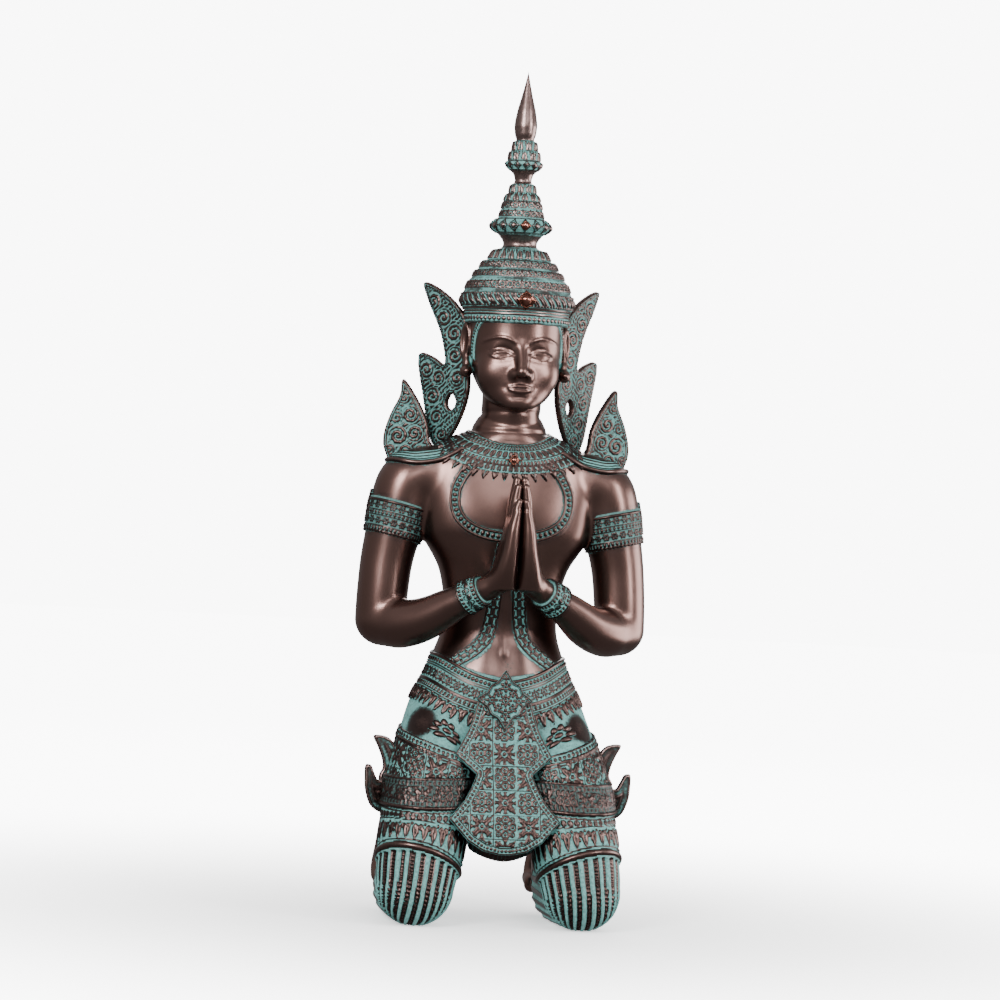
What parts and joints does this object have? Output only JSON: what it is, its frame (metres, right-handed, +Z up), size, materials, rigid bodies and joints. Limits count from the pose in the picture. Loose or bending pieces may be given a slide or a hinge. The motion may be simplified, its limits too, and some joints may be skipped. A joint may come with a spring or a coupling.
{
  "type": "kneeling praying statue",
  "caption": "Kneeling Thai temple attendant in a tiered pointed crown, palms joined in prayer, cast in bronze with verdigris in its carving.",
  "frame": {"origin": "on the ground, under the middle of the figure's width and depth", "axes": "+Z up through the tip of the crown, -Y the way the figure faces, +X to the right of someone who faces it"},
  "size_m": [0.296, 0.2418, 0.858],
  "materials": {
    "bronze": "dark semi-gloss patina with turquoise verdigris in the recesses"
  },
  "bodies": {
    "root": {"theppanom": "bronze"}
  },
  "joints": []
}
